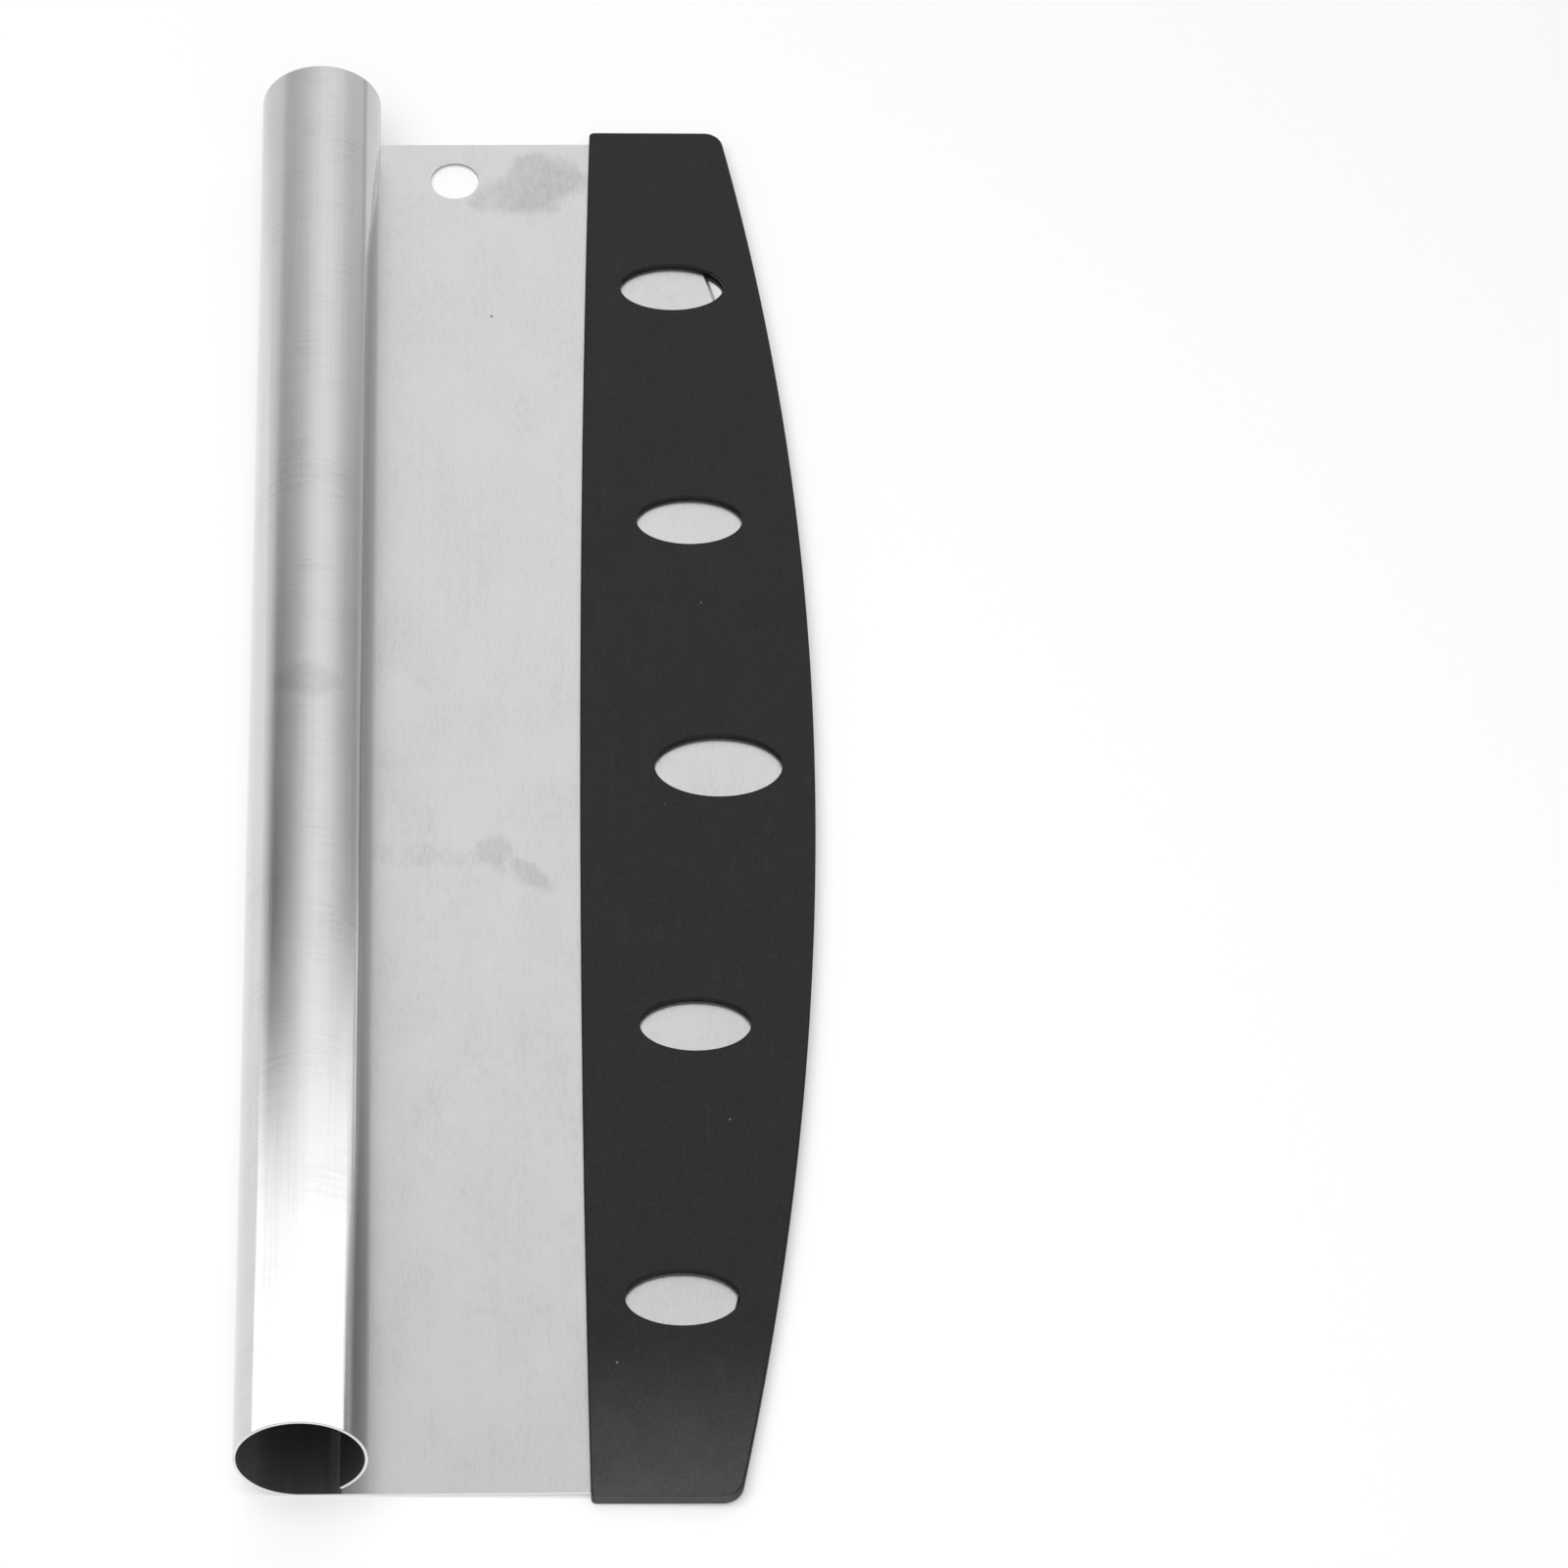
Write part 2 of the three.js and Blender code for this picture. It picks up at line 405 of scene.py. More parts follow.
# The blade's satin: grain and clouds to the metre, and how far each tints and roughens the steel.
satin_roughness = 0.35
satin_fine_grain = (2300, 480, 2300)
satin_fine_tint = 0.75
satin_fine_roughness = 0.1
satin_long_grain = (800, 9, 800)
satin_long_tint = 0.22
satin_long_height = 0.5
satin_clouds = (90, 50, 90)
satin_cloud_tint = 0.3
satin_cloud_roughness = 0.08
satin_grain_depth = 0.002 * MM

# Finger smears and one pit on the blade: millimetres in plan, and degrees.
smears = (
    {"at": (0.4, 161.9), "half_size": (12, 7.6), "turn": -22, "strength": 0.54},
    {"at": (2.6, 166.7), "half_size": (6.8, 6), "turn": 20, "strength": 0.5},
    {"at": (-8.0, -21.2), "half_size": (4.4, 3.8), "turn": 24, "strength": 0.36},
    {"at": (-0.8, -26.7), "half_size": (6.0, 2.6), "turn": 45, "strength": 0.46},
    {"at": (-4.2, -25.3), "half_size": (6.5, 3.2), "turn": 40, "strength": 0.2},
    {"at": (-21.6, -22.3), "half_size": (15, 2.8), "turn": 4, "strength": 0.14},
)
smear_edges = (150, 150, 150)
smear_skin_lines = (420, 330, 420)
skin_line_strengths = (0.3, 0.7, 0.75, 1.0)
smear_roughness = 0.05
pit_at = (-8.2, 124.3)
pit_half_size = (0.36, 0.36)
pit_edges = (240, 240, 240)

satin_finish, place = new_material("satin_steel")
fine_grain = place.noise(satin_fine_grain, detail=3.0, roughness=0.6)
long_grain = place.noise(satin_long_grain)
clouds = place.noise(satin_clouds, detail=4.0, roughness=0.6)
soft_edge = place.noise(smear_edges)
smear = 0.0
for mark in smears:
    patch = place.patch(mark["at"], mark["half_size"], mark["turn"], soft_edge)
    smear = place.math("MAXIMUM", smear, patch * mark["strength"])
smear = smear * place.noise(smear_skin_lines, detail=3.0).ramp(*skin_line_strengths)
pit = place.patch(pit_at, pit_half_size, 0, place.noise(pit_edges, detail=4.0, roughness=0.65))
streaks = fine_grain.swing(satin_fine_tint) + long_grain.swing(satin_long_tint)
streaks = streaks + clouds.swing(satin_cloud_tint)
colour = pit.mixed((smear + streaks).mixed(satin_steel, smeared_steel), pitted_steel)
roughness = satin_roughness + clouds.swing(satin_cloud_roughness)
roughness = roughness + fine_grain.swing(satin_fine_roughness) + smear * smear_roughness
metal(place, colour, roughness, fine_grain + long_grain * satin_long_height, satin_grain_depth)

# The handle's polish: grain, clouds, blotches and rub marks to the metre, and two hand marks.
rolled_roughness = 0.105
rolled_fine_grain = (2600, 24, 2600)
rolled_fine_tint = 0.5
rolled_fine_roughness = 0.04
rolled_long_grain = (640, 5, 640)
rolled_long_tint = 0.35
rolled_long_height = 2
rolled_clouds = (70, 34, 70)
rolled_cloud_tint = 0.2
rolled_cloud_roughness = 0.05
rolled_blotches = (75, 62, 75)
blotch_rim = (0.42, 0.68)
blotch_tint = 0.18
rub_marks_across = (110, 1400, 110)
least_rub = 0.3
rub_by_blotches = 0.7
rolled_grain_depth = 0.012 * MM
hand_mark_edges = (260, 260, 260)
palm_mark_at = (-45.5, 4)
palm_mark_half_size = (7, 4.5)
palm_mark_turn = 8
palm_mark_least = 0.1
palm_mark_by_edges = 0.8
thumb_mark_at = (-43.8, 33.5)
thumb_mark_half_size = (3.6, 1.2)
thumb_mark_turn = -3
thumb_mark_strength = 0.15

# The band low on the side towards the blade: painted reflection of the guard, rougher, paling lower down
# with painted reflection of the blade. Its heights are from the roll's axis. It narrows at the far end,
# and widens and darkens with painted shade towards the near end.
reflection_band_fades = (7.4 * MM, 6.5 * MM)
coarse_from = (8.1 * MM, 7.1 * MM)
band_roughness = 0.31
band_pales = (4.6 * MM, 1.4 * MM)
near_end_darkening = 0.5
band_starts_across = (handle_axis.x + 2 * MM, handle_axis.x + 7 * MM)
band_darkens_along = (-62 * MM, -142 * MM)
band_widens_along = (-85 * MM, -160 * MM)
band_widens_by = 1.3 * MM
band_narrows_along = (120 * MM, 172 * MM)
band_narrows_by = 7 * MM

rolled_finish, place = new_material("rolled_handle_steel")
fine_grain = place.noise(rolled_fine_grain, detail=3.0, roughness=0.6)
long_grain = place.noise(rolled_long_grain)
clouds = place.noise(rolled_clouds, detail=3.0)
blotches = place.noise(rolled_blotches, detail=3.0).ramp(*blotch_rim)
rub_marks = place.noise(rub_marks_across, roughness=0.7)
ragged = place.noise(hand_mark_edges, detail=4.0, roughness=0.65)
palm_mark = place.patch(palm_mark_at, palm_mark_half_size, palm_mark_turn, ragged)
thumb_mark = place.patch(thumb_mark_at, thumb_mark_half_size, thumb_mark_turn, ragged)
smear = palm_mark * (palm_mark_least + ragged * palm_mark_by_edges) + thumb_mark * thumb_mark_strength
streaks = fine_grain.swing(rolled_fine_tint) + long_grain.swing(rolled_long_tint)
streaks = streaks + clouds.swing(rolled_cloud_tint) + blotches * blotch_tint
streaks = streaks + (least_rub + blotches * rub_by_blotches) * rub_marks.swing(1)
across_handle, along_handle, up_handle = place.parts()
above_axis = up_handle - (handle_axis.z + handle_radius)
band_height = above_axis - along_handle.ramp(*band_widens_along) * band_widens_by
band_height = band_height + along_handle.ramp(*band_narrows_along) * band_narrows_by
by_lip = across_handle.ramp(*band_starts_across)
# The band's colour is painted reflection of the guard; only its roughness belongs to the steel.
painted_reflection_band = band_height.ramp(*reflection_band_fades) * by_lip
coarse = band_height.ramp(*coarse_from) * by_lip
# Painted shade deepens the band towards the near end.
near_end = along_handle.ramp(*band_darkens_along)
# Painted reflection of the blade pales the band lower down.
painted_blade_reflection = above_axis.ramp(*band_pales) * (1 - near_end * near_end_darkening)
painted_band_colour = painted_blade_reflection.mixed(near_end.mixed(painted_guard_reflection_steel, painted_crevice_shade_steel), satin_steel)
colour = painted_reflection_band.mixed((smear + streaks).mixed(clean_steel, smeared_steel), painted_band_colour)
roughness = rolled_roughness + clouds.swing(rolled_cloud_roughness)
roughness = roughness + fine_grain.swing(rolled_fine_roughness) + coarse * band_roughness
metal(place, colour, roughness, fine_grain + long_grain * rolled_long_height, rolled_grain_depth)

# The bore, the hole's wall and the face under the roll are the same sheet; their darker colour is painted
# shade.
bore_painted_shade_finish = marked_steel(
    "bore_steel_painted_shade",
    marks=(900, 60, 900),
    detail=3.0,
    colour=bore_painted_shade_steel,
    marked_colour=smeared_steel,
    tint=0.35,
    roughness=0.42,
    mark_roughness=0.15,
    depth=0.003 * MM,
)
sheared_finish = marked_steel(
    "sheared_edge_steel",
    marks=(1500, 1500, 4000),
    detail=2.0,
    colour=sheared_steel,
    marked_colour=clean_steel,
    tint=0.5,
    roughness=0.25,
    mark_roughness=0.2,
    depth=0.004 * MM,
)
ground_finish = marked_steel(
    "ground_edge_steel",
    marks=(120, 3200, 120),
    detail=2.0,
    colour=ground_steel,
    marked_colour=clean_steel,
    tint=0.6,
    roughness=0.24,
    mark_roughness=0.16,
    depth=0.003 * MM,
)

for finish in (satin_finish, rolled_finish, bore_painted_shade_finish, sheared_finish, ground_finish):
    rolled_blade.data.materials.append(finish)

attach(rolled_blade, "cutter")
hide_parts("blade_and_handle")

# Guard: one flat sleeve of black plastic, moulded with a slot that is open towards the handle and
# closed along its curved front and both ends. Five oval windows go through both of its faces.
# It is pushed on by hand, rocks a little on the middle of the cutting edge, and pulls off again.

guard_low, guard_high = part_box("blade_guard")
guard_height = guard_high.z - guard_low.z
guard_depth = 48 * MM
guard_wall = 1 * MM
guard_end_wall = 1 * MM
guard_rim_wall = 1.6 * MM
guard_radius = cutting_edge_radius + 364 * MM
guard_mouth_bow = 2.05 * MM
guard_corner_radius = 4.2 * MM
mouth_corner_radius = 1 * MM
guard_rounding = 0.45 * MM
window_rounding = 0.2 * MM
edge_clearance = 0.36 * MM
end_clearance = 1.05 * MM
guard_skew = math.radians(-0.54)
moulded_edge_turn = math.radians(40)

windows_each_side = 2
window_pitch = 65.75 * MM
window_half_size = (11.1 * MM, 6.55 * MM)
middle_window_half_size = (13.1 * MM, 8.1 * MM)
middle_window_shift = 4.3 * MM

rows_to_window = 20
rows_each_side = 52
guard_corner_steps = 8
mouth_corner_steps = 5
end_steps = 12
steps_between_windows = 14
rings_round_window = 6
rounding_steps = 4

half_slot = half_sheet + end_clearance
half_guard = half_slot + guard_end_wall
guard_front_x = blade_reach + edge_clearance + guard_rim_wall
guard_mouth_x = guard_front_x - guard_depth
guard_centre_x = guard_front_x - guard_radius
slot_radius = guard_radius - guard_rim_wall
mouth_radius = (half_guard ** 2 + guard_mouth_bow ** 2) / (2 * guard_mouth_bow)
mouth_centre_x = guard_mouth_x + mouth_radius
slot_top = guard_height - guard_wall

front_corner_y = half_guard - guard_corner_radius
front_corner_x = guard_centre_x + math.sqrt((guard_radius - guard_corner_radius) ** 2 - front_corner_y ** 2)
front_corner_angle = math.atan2(front_corner_y, front_corner_x - guard_centre_x)
mouth_corner_y = half_guard - mouth_corner_radius
mouth_corner_x = mouth_centre_x - math.sqrt((mouth_radius - mouth_corner_radius) ** 2 - mouth_corner_y ** 2)
mouth_corner_angle = math.atan2(mouth_corner_y, mouth_corner_x - mouth_centre_x)

guard_rows = [row * window_pitch / rows_to_window for row in range(-rows_each_side, rows_each_side + 1)]
last_row = len(guard_rows) + 1
half_pitches = range(1 - 2 * windows_each_side, 2 * windows_each_side, 2)
window_seams = [rows_each_side + 1 + half * rows_to_window // 2 for half in half_pitches]
window_seams = [0, *window_seams, last_row]


def on_arc(centre_x, centre_y, radius, angle):
    """A point on an arc in the guard's plan."""
    return Vector((centre_x + radius * math.cos(angle), centre_y + radius * math.sin(angle)))


def rows_with_ends(end):
    """The rows along the guard with one more row at each end."""
    return [-end, *guard_rows, end]


def between(first, last, count):
    """The points between two others, without these."""
    return [first.lerp(last, step / count) for step in range(1, count)]


def outer_plan(inset):
    """The guard's outline drawn in by an inset: its front, its mouth and the far end between them."""
    front_end = guard_radius * math.sin(front_corner_angle)
    front_angles = [math.asin(y / guard_radius) for y in rows_with_ends(front_end)]
    front = [on_arc(guard_centre_x, 0, guard_radius - inset, angle) for angle in front_angles]
    mouth_end = mouth_radius * math.sin(mouth_corner_angle)
    mouth_angles = [math.pi - math.asin(y / mouth_radius) for y in rows_with_ends(mouth_end)]
    mouth = [on_arc(mouth_centre_x, 0, mouth_radius - inset, angle) for angle in mouth_angles]
    front_corner = [
        on_arc(front_corner_x, front_corner_y, guard_corner_radius - inset, angle)
        for angle in steps(front_corner_angle, math.pi / 2, guard_corner_steps)
    ]
    mouth_corner = [
        on_arc(mouth_corner_x, mouth_corner_y, mouth_corner_radius - inset, angle)
        for angle in steps(math.pi / 2, mouth_corner_angle, mouth_corner_steps)
    ]
    straight = between(front_corner[-1], mouth_corner[0], end_steps)
    return front, mouth, front_corner[1:] + straight + mouth_corner[:-1]


def slot_plan():
    """The slot's outline: its front, the guard's mouth and the far end between them."""
    front = [
        Vector((guard_centre_x + math.sqrt(slot_radius ** 2 - y ** 2), y))
        for y in rows_with_ends(half_slot)
    ]
    mouth = outer_plan(0)[1]
    return front, mouth, between(front[-1], mouth[-1], guard_corner_steps + end_steps + mouth_corner_steps)


def mirrored(points):
    """The same points at the guard's near end."""
    return [Vector((point.x, -point.y)) for point in points]


def window_field(plan, first, last):
    """The closed boundary of the part of a plan that surrounds one window."""
    front, mouth, end = plan
    boundary = front[first:last + 1]
    boundary += end if last == last_row else between(front[last], mouth[last], steps_between_windows)
    boundary += mouth[first:last + 1][::-1]
    if first:
        boundary += between(mouth[first], front[first], steps_between_windows)
    else:
        boundary += mirrored(end)[::-1]
    return boundary + boundary[:1]


def window_rim(window, count, first_turn, growth):
    """The oval of a window, grown outwards, in as many steps as its surrounding boundary has."""
    centre, half_size = window
    turns = [first_turn + 2 * math.pi * step / count for step in range(count)]
    rim = [
        centre + Vector(((half_size[0] + growth) * math.cos(t), (half_size[1] + growth) * math.sin(t)))
        for t in turns
    ]
    return rim + rim[:1]


def middle_of_guard(y):
    """Half way between the guard's mouth and its front, some way along it."""
    front = guard_centre_x + math.sqrt(guard_radius ** 2 - y ** 2)
    mouth = mouth_centre_x - math.sqrt(mouth_radius ** 2 - y ** 2)
    return (front + mouth) / 2


def seated(points, z):
    """Puts points of the guard's plan at a height, turned about the middle of the cutting edge."""
    pivot = Vector((blade_reach, 0, 0))
    turn = Matrix.Rotation(guard_skew, 3, "Z")
    seat = Vector((handle_axis.x, handle_axis.y, guard_low.z))
    return [seat + pivot + turn @ (Vector((p.x, p.y, z)) - pivot) for p in points]


def rounded_levels(rounding):
    """Inset and height of the lines that round off a lower edge, from the face to the side."""
    turns = steps(0, math.pi / 2, rounding_steps)
    return [(rounding * (1 - math.sin(turn)), rounding * (1 - math.cos(turn))) for turn in turns]


def turned_over(levels):
    """The same lines at the guard's upper face, from the side to the face."""
    return [(inset, guard_height - height) for inset, height in reversed(levels)]


guard_mesh = bmesh.new()
windows = [
    (Vector((middle_of_guard(number * window_pitch), number * window_pitch)), window_half_size)
    for number in range(-windows_each_side, windows_each_side + 1)
]
middle_window_at = Vector((middle_of_guard(0) + middle_window_shift, 0))
windows[windows_each_side] = (middle_window_at, middle_window_half_size)

for window, first, last in zip(windows, window_seams, window_seams[1:]):
    count = len(window_field(slot_plan(), first, last)) - 1
    first_turn = -math.pi * (last - first) / count
    rim = window_rim(window, count, first_turn, 0)
    face_rim = window_rim(window, count, first_turn, window_rounding)
    face_field = window_field(outer_plan(guard_rounding), first, last)
    slot_field = window_field(slot_plan(), first, last)
    fields = (
        (face_field, face_rim, 0),
        (slot_field, rim, guard_wall),
        (slot_field, rim, slot_top),
        (face_field, face_rim, guard_height),
    )
    for field, inner, z in fields:
        rings = [
            [a.lerp(b, share) for a, b in zip(field, inner)]
            for share in steps(0, 1, rings_round_window)
        ]
        add_skin(guard_mesh, [seated(ring, z) for ring in rings], 0)
    lower_wall = rounded_levels(window_rounding) + [(0, guard_wall)]
    upper_wall = turned_over(lower_wall)
    for wall in (lower_wall, upper_wall):
        rims = [seated(window_rim(window, count, first_turn, grown), z) for grown, z in wall]
        add_skin(guard_mesh, rims, 0)

side_levels = rounded_levels(guard_rounding)
opening_level = len(side_levels)
side_levels = side_levels + [(0, guard_wall), (0, slot_top)] + turned_over(side_levels)
side_lines = []
for inset, z in side_levels:
    front, mouth, end = outer_plan(inset)
    outline = front + end + mouth[::-1] + mirrored(end)[::-1]
    side_lines.append(seated(outline + outline[:1], z))
mouth_columns = range(len(front) + len(end), len(front) + len(end) + len(mouth) - 1)
add_skin(
    guard_mesh,
    side_lines,
    0,
    lambda row, column: row == opening_level and column in mouth_columns,
)
front, mouth, end = slot_plan()
slot_outline = [mouth[-1], *end[::-1], *front[::-1], *mirrored(end), mouth[0]]
add_skin(guard_mesh, [seated(slot_outline, guard_wall), seated(slot_outline, slot_top)], 0)
close_up(guard_mesh)
for edge in guard_mesh.edges:
    edge.smooth = edge.calc_face_angle(0) < moulded_edge_turn

moulded_guard = piece_from(guard_mesh, "moulded_guard")
flat_faces = moulded_guard.modifiers.new("flat_faces", "WEIGHTED_NORMAL")
flat_faces.keep_sharp = True

side_painted_shade_black = (0.005, 0.005, 0.005, 1)
black_plastic = (0.0095, 0.0095, 0.0095, 1)
worn_plastic = (0.024, 0.024, 0.024, 1)
near_end_painted_light_plastic = (0.068, 0.068, 0.067, 1)
dust = (0.19, 0.19, 0.185, 1)

# The moulded texture, mottle, rubs and specks to the metre, and how far each changes the plastic.
plastic_gloss = 0.25
plastic_roughness = 0.46
plastic_texture = (1500, 1500, 1500)
texture_wear = 1.8
texture_roughness = 0.16
texture_depth = 0.014 * MM
plastic_mottle = (140, 140, 140)
mottle_wear = 0.5
mottle_roughness = 0.1
plastic_rubs = (520, 90, 520)
rub_rim = (0.6, 0.78)
rub_wear = 0.16
rub_polish = 0.06
least_wear = 0.35
specks_to_metre = 210.0
speck_rim = (0.07, 0.04)
speck_fields = (95, 95, 95)
speck_field_rim = (0.60, 0.64)
speck_strength = 0.8
painted_light_along = (-137 * MM, -186 * MM)
painted_light_strength = 0.8
painted_light_mottle = 0.6
least_painted_light = 0.45
painted_light_texture = 1.1
shaded_side_faces = (0.25, 0.7)

guard_finish, place = new_material("moulded_black_plastic")
texture = place.noise(plastic_texture, detail=4.0, roughness=0.7)
mottle = place.noise(plastic_mottle, detail=4.0, roughness=0.6)
rubbed = place.noise(plastic_rubs, detail=3.0).ramp(*rub_rim)
speck_values = {"Vector": place, "Scale": specks_to_metre, "Randomness": 1.0}
specks = place.node("ShaderNodeTexVoronoi", {"feature": "F1"}, speck_values, "Distance").ramp(*speck_rim)
sparse = place.noise(speck_fields, detail=1.0).ramp(*speck_field_rim)
_, along_guard, _ = place.parts()
# Painted light: the plastic grows paler towards the near end, mottled by the moulded texture.
painted_near_end_light = along_guard.ramp(*painted_light_along) * (painted_light_strength + mottle.swing(painted_light_mottle))
wear = mottle.swing(mottle_wear) + texture.swing(texture_wear) + rubbed * rub_wear + least_wear
colour = wear.mixed(black_plastic, worn_plastic)
colour = (painted_near_end_light * (least_painted_light + texture * painted_light_texture)).mixed(colour, near_end_painted_light_plastic)
colour = (specks * sparse * speck_strength).mixed(colour, dust)
# Painted shade: faces turned across, at the rounded front and at the mouth, are darker.
facing_across, _, _ = place.node("ShaderNodeTexCoord", {}, {}, "Normal").parts()
painted_side_shade = place.math("ABSOLUTE", facing_across).ramp(*shaded_side_faces)
colour = painted_side_shade.mixed(colour, side_painted_shade_black)
roughness = plastic_roughness + texture.swing(texture_roughness) + mottle.swing(mottle_roughness)
roughness = roughness - rubbed * rub_polish
bump = place.node("ShaderNodeBump", {}, {
    "Strength": 1.0,
    "Distance": texture_depth,
    "Height": texture,
})
surface = place.node("ShaderNodeBsdfPrincipled", {}, {
    "Base Color": colour,
    "Roughness": roughness,
    "Specular IOR Level": plastic_gloss,
    "Normal": bump,
})
place.node("ShaderNodeOutputMaterial", {}, {"Surface": surface})
moulded_guard.data.materials.append(guard_finish)

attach(moulded_guard, "guard")
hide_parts("blade_guard")

# Table: a plain matt white top that the handle's underside and the edge of the guard's mouth both touch.
# It looks white to the camera and takes a soft shadow. Only in the steel it carries painted light and shade:
# it mirrors as white beside the handle and in front of it, and as grey painted shade beyond the guard,
# with one painted pool of light there.

table_half_size = 2.0
table_steps = 8
table_white = (0.94, 0.94, 0.94, 1)
full_white = 1
white_share = 0.35
mirrored_share = 0.85
near_white = 0.8
shaded_white = 0.48
shade_edge = (20 * MM, 55 * MM)
shade_slant = 0.2
beside_handle = (-45 * MM, -60 * MM)
beside_handle_ends = (220 * MM, 130 * MM)
before_near_end = (-174.5 * MM, -175.5 * MM)
painted_light_spot_at = (175, 66)
painted_light_spot_half_size = (150, 42)
painted_light_spot_turn = -36
even_rim = 0.5
table_slope = (sheet_low.z - guard_low.z) / guard_mouth_x

table_mesh = bmesh.new()
table_places = steps(-table_half_size, table_half_size, table_steps)
contact_x = handle_axis.x + guard_mouth_x
add_skin(
    table_mesh,
    [[Vector((x, y, guard_low.z + (contact_x - x) * table_slope)) for x in table_places]
     for y in table_places],
    0,
)
table = piece_from(table_mesh, "table")

table_finish, place = new_material("white_table")
rays = ("Is Camera Ray", "Is Glossy Ray", "Is Transmission Ray")
seen, glossy, through = place.node("ShaderNodeLightPath", {}, {}, *rays)
across_table, along_table, _ = place.parts()
# Painted shade and light, seen only in the steel: grey beyond the guard, white in the places listed below.
lit = (across_table - along_table * shade_slant).ramp(*shade_edge, near_white, shaded_white)
white_places = (
    across_table.ramp(*beside_handle) * along_table.ramp(*beside_handle_ends),
    place.patch(painted_light_spot_at, painted_light_spot_half_size, painted_light_spot_turn, even_rim),
    along_table.ramp(*before_near_end),
    seen,
)
for white_place in white_places:
    lit = lit.eased_to(full_white, white_place)
matt = place.node("ShaderNodeBsdfDiffuse", {}, {"Color": table_white})
white = place.node("ShaderNodeEmission", {}, {"Color": lit, "Strength": 1.0})
in_the_steel = place.math("MAXIMUM", glossy, through) * mirrored_share
share = place.math("MAXIMUM", seen * white_share, in_the_steel)
surface = place.node("ShaderNodeMixShader", {}, {0: share, 1: matt, 2: white})
place.node("ShaderNodeOutputMaterial", {}, {"Surface": surface})
table.data.materials.append(table_finish)

# Studio: a white tent. Its far wall glows in the middle, a bright strip above that wall stops short at the
# right, and a dark gap parts the strip from the glowing roof. A large soft lamp adds plain light from the
# upper left, in front.

bpy.context.scene.view_settings.view_transform = "Standard"

tent = bpy.data.worlds.new("tent")
tent.use_nodes = True
tent.node_tree.nodes.clear()
bpy.context.scene.world = tent

# Places in the tent: tilts are angles to the right of overhead, in radians, and the rest are how far a
# direction points to the far end, from 0 to 1. Four numbers are two places and the light at each.
left_wall_light = (0.59, 0.675, 0.07, 0.52)
left_wall_foot_light = (0.675, 0.695, 0.0, 0.1)
right_wall_light = (0.59, 0.72, 0.30, 0.60)
right_foot_along = (0.645, 0.69)
right_foot_tilts = (0.9, 1.5)
right_foot_light = 0.13
left_to_right_tilts = (-0.3, 0.6)
left_side_tilts = (-1.12, -1.62)
left_side_light = 0.85
wall_glow_light = (0.69, 0.78, 1.0, 0.85)
wall_glow_tilt = 0.26
wall_glow_spread = 0.75
wall_top = 0.585
wall_top_slant = 0.0075
wall_top_rim = (0.003, -0.004)
strip_light = (0.578, 0.555, 1.58, 2.0)
strip_along = (0.48, 0.55)
strip_end_tilt = 1.38
strip_end_slants_from = 0.56
strip_end_slant = 12
strip_end_rim = (-0.06, 0.06)
past_strip_along = (0.45, 0.53)
past_strip_light = 0.25
roof_light = 0.3
roof_glow_light = 0.62
roof_glow_tilt = 0.1
roof_glow_spread = 0.62
roof_side_tilts = (1.15, 1.5)
roof_side_light = 0.75
gap_along = (0.02, 0.32)
gap_light = 0.08


def bell(value, middle, spread):
    """1 where a value is at its middle, easing off to 0 on both sides."""
    offset = (value - middle) / spread
    return value.math("EXPONENT", 0 - offset * offset)


direction = Shade(tent.node_tree).node("ShaderNodeTexCoord", {}, {}, "Generated")
aside, along, upward = direction.parts()
tilt = direction.math("ARCTAN2", aside, upward)
left_wall = along.ramp(*left_wall_light) + along.ramp(*left_wall_foot_light)
right_foot = along.ramp(*right_foot_along) * tilt.ramp(*right_foot_tilts) * right_foot_light
right_wall = along.ramp(*right_wall_light) + right_foot
wall = left_wall.eased_to(right_wall, tilt.ramp(*left_to_right_tilts))
wall = wall.eased_to(left_side_light, tilt.ramp(*left_side_tilts))
wall = wall.eased_to(along.ramp(*wall_glow_light), bell(tilt, wall_glow_tilt, wall_glow_spread))
roof = roof_light + bell(tilt, roof_glow_tilt, roof_glow_spread) * roof_glow_light
roof = roof.eased_to(roof_side_light, direction.math("ABSOLUTE", tilt).ramp(*roof_side_tilts))
roof = roof.eased_to(gap_light, along.ramp(*gap_along))
overhead = roof.eased_to(along.ramp(*strip_light), along.ramp(*strip_along))
end_slant = direction.math("MAXIMUM", along - strip_end_slants_from, 0.0) * strip_end_slant
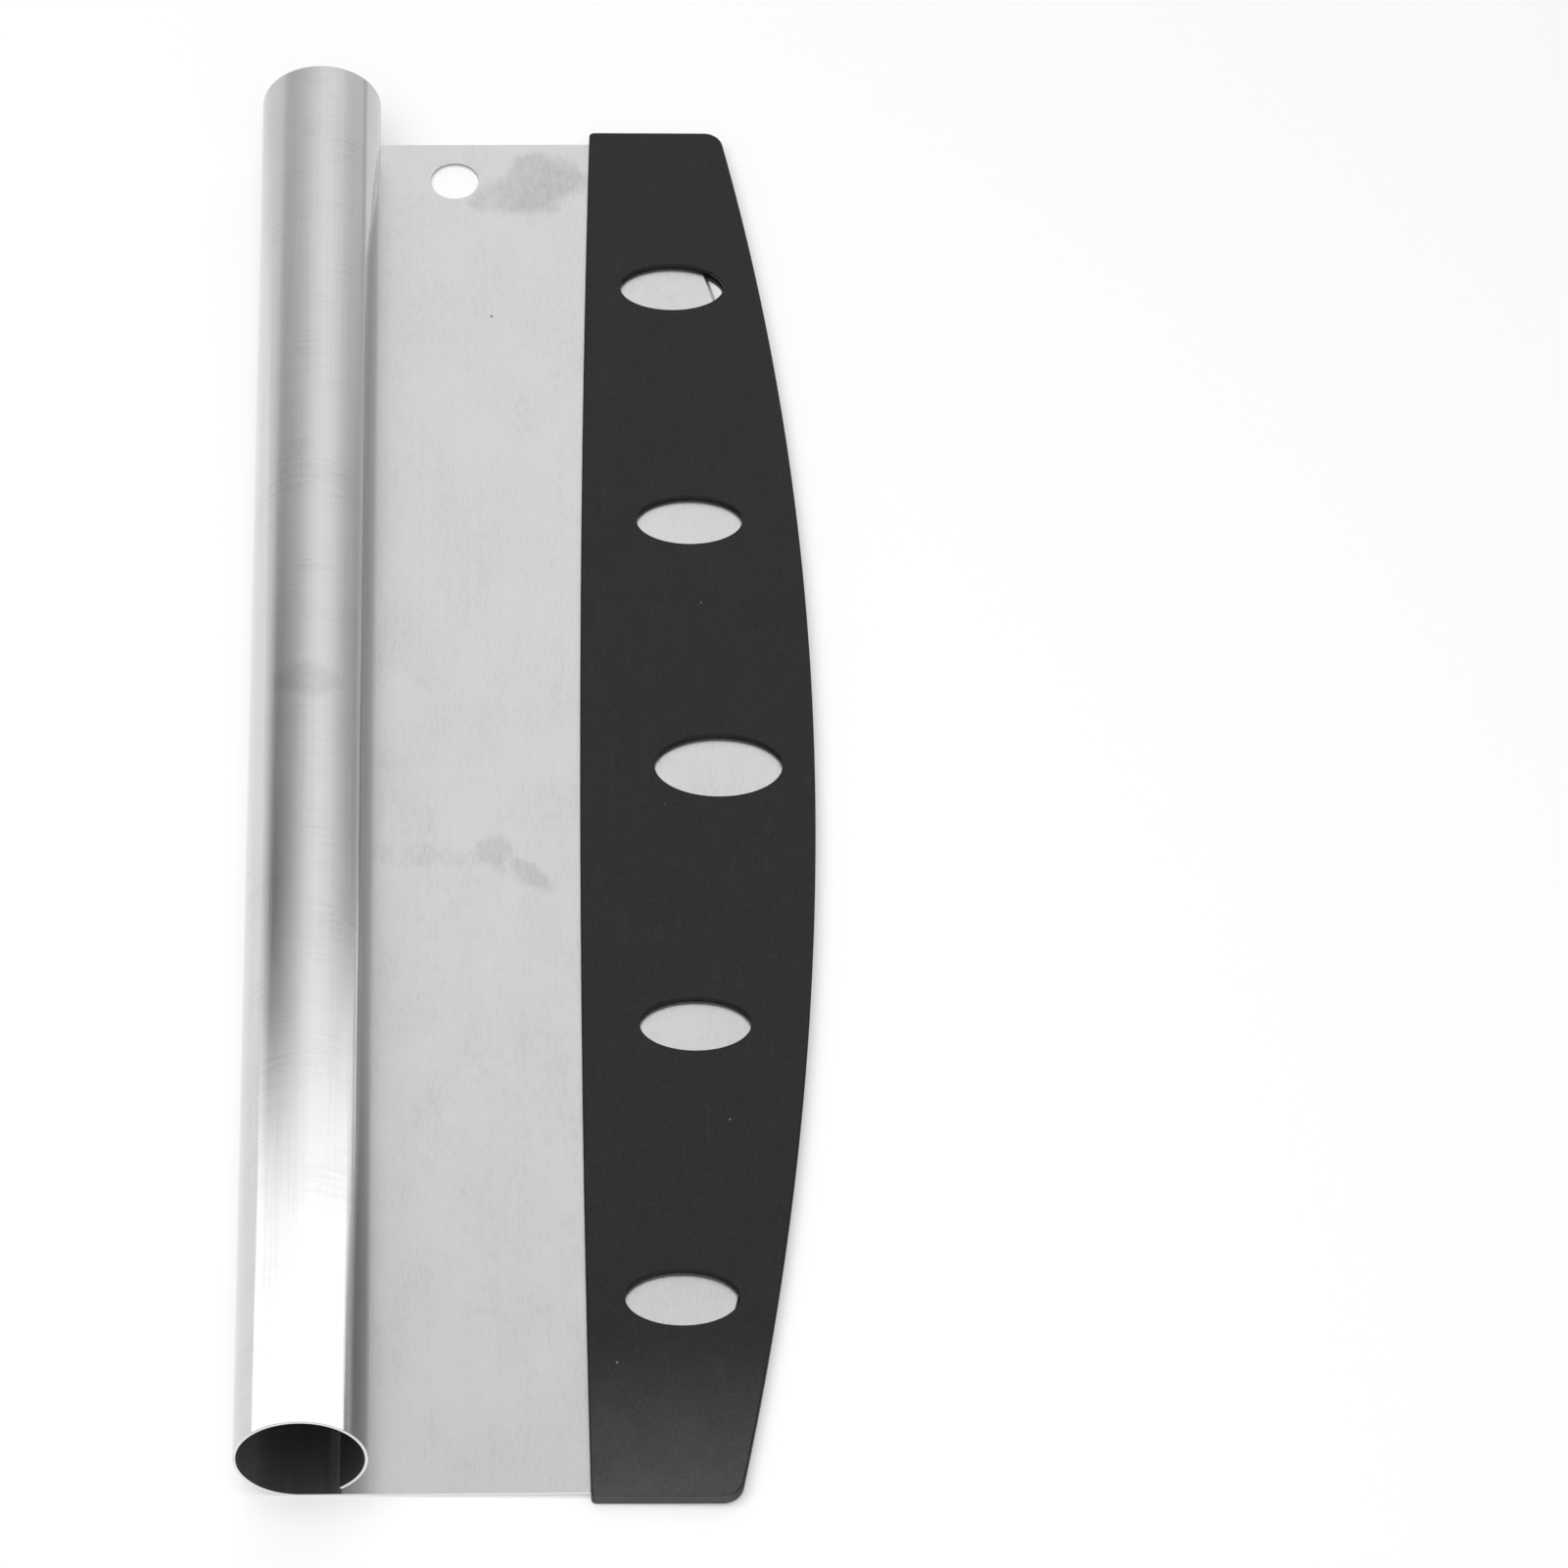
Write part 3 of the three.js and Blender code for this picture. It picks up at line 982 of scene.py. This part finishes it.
past_strip = (tilt - (strip_end_tilt + end_slant)).ramp(*strip_end_rim) * along.ramp(*past_strip_along)
overhead = overhead.eased_to(past_strip_light, past_strip)
wall_ends = wall_top + direction.math("MAXIMUM", tilt, 0.0) * wall_top_slant
light = wall.eased_to(overhead, (along - wall_ends).ramp(*wall_top_rim))
light = light.eased_to(full_white, direction.node("ShaderNodeLightPath", {}, {}, "Is Camera Ray"))
background = direction.node("ShaderNodeBackground", {}, {"Color": light, "Strength": 1.0})
direction.node("ShaderNodeOutputWorld", {}, {"Surface": background})

lamp_width = 0.9
lamp_power = 9
lamp_at = Vector((-0.3, -0.2, 1.1))

lamp_data = bpy.data.lights.new("soft_lamp", "AREA")
lamp_data.shape = "SQUARE"
lamp_data.size = lamp_width
lamp_data.energy = lamp_power
lamp = bpy.data.objects.new("soft_lamp", lamp_data)
lamp.location = lamp_at
lamp.rotation_euler = (-lamp_at).to_track_quat("-Z", "Y").to_euler()
lamp.visible_glossy = False
bpy.context.scene.collection.objects.link(lamp)

# Camera: above the near end of the cutter, looking along the handle and down at the blade's face.

camera_target = Vector((51.25 * MM, -3.72 * MM, 1.3 * MM))
camera_distance = 1517.28 * MM
camera_heading = math.radians(3.297)
camera_fall = math.radians(51.655)
camera_roll = math.radians(2.254)
film_width = 36
image_width = 1601
focal_length_in_pixels = 7575.2

forward = Vector((
    math.sin(camera_heading) * math.cos(camera_fall),
    math.cos(camera_heading) * math.cos(camera_fall),
    -math.sin(camera_fall),
))
level = Vector((math.cos(camera_heading), -math.sin(camera_heading), 0))
above = level.cross(forward)
right = level * math.cos(camera_roll) + above * math.sin(camera_roll)
up = above * math.cos(camera_roll) - level * math.sin(camera_roll)

camera_data = bpy.data.cameras.new("camera")
camera_data.sensor_width = film_width
camera_data.lens = focal_length_in_pixels / image_width * film_width
camera = bpy.data.objects.new("camera", camera_data)
turn = Matrix((right, up, -forward)).transposed().to_4x4()
camera.matrix_world = Matrix.Translation(camera_target - forward * camera_distance) @ turn
bpy.context.scene.collection.objects.link(camera)
bpy.context.scene.camera = camera
